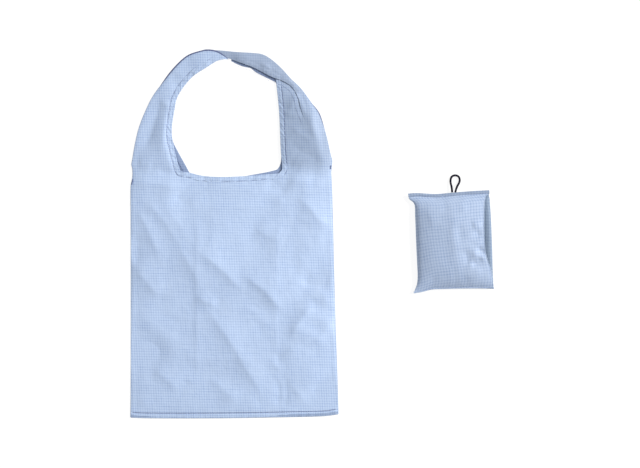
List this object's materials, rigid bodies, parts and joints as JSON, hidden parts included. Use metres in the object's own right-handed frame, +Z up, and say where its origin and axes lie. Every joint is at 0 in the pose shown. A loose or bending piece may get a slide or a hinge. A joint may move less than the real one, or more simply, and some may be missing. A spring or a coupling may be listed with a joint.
{
  "type": "foldable tote bag",
  "caption": "Thin cloth shopping bag with one wide shoulder handle, folding in three along its height, and its small storage pouch with a round elastic loop.",
  "frame": {"origin": "on the surface that the bag lies on, under the middle of its upper body", "axes": "+X across the bag towards the pouch, +Y from the bottom seam towards the handle, +Z up out of the front panel"},
  "size_m": [0.6485, 0.661, 0.026],
  "materials": {
    "cloth": "matte",
    "thread": "matte",
    "elastic": "matte"
  },
  "bodies": {
    "upper_body": {"back_panel_upper": "cloth", "front_panel_upper": "cloth", "mouth_hem_back": "cloth", "mouth_hem_front": "cloth", "mouth_stitching": "thread", "side_seam_left_upper": "cloth", "side_seam_right_upper": "cloth"},
    "lower_body": {"back_panel_lower": "cloth", "front_panel_lower": "cloth", "side_seam_left_lower": "cloth", "side_seam_right_lower": "cloth", "bottom_seam": "cloth", "bottom_stitching": "thread"},
    "handle": {"strap_left_back": "cloth", "strap_left_front": "cloth", "strap_right_back": "cloth", "strap_right_front": "cloth", "strap_hem_left_back": "cloth", "strap_hem_left_front": "cloth", "strap_hem_right_back": "cloth", "strap_hem_right_front": "cloth", "strap_edge_left": "cloth", "strap_edge_right": "cloth", "strap_stitching_left": "thread", "strap_stitching_right": "thread", "strap_join_seam": "cloth"},
    "pouch": {"pouch_front": "cloth", "pouch_back": "cloth", "pouch_seam_top": "cloth", "pouch_seam_bottom": "cloth", "pouch_hem_front": "cloth", "pouch_hem_back": "cloth", "pouch_stitching_top": "thread", "pouch_stitching_bottom": "thread"},
    "loop": {"elastic_loop": "elastic"}
  },
  "joints": [
    {"name": "handle_fold", "type": "hinge", "parent": "upper_body", "child": "handle", "pos_m": [0, 0.118, 0.013], "axis": [1, 0, 0], "range_deg": [0, 179.5]},
    {"name": "lower_fold", "type": "hinge", "parent": "upper_body", "child": "lower_body", "pos_m": [0, -0.123, 0.0225], "axis": [-1, 0, 0], "range_deg": [0, 179.5]},
    {"name": "pouch_lift", "type": "slide", "parent": "upper_body", "child": "pouch", "axis": [0, 0, 1], "range_m": [0, 0.15]},
    {"name": "loop_tilt", "type": "hinge", "parent": "pouch", "child": "loop", "pos_m": [0.3945, 0.0774, 0.006], "axis": [1, 0, 0], "range_deg": [0, 90]}
  ]
}
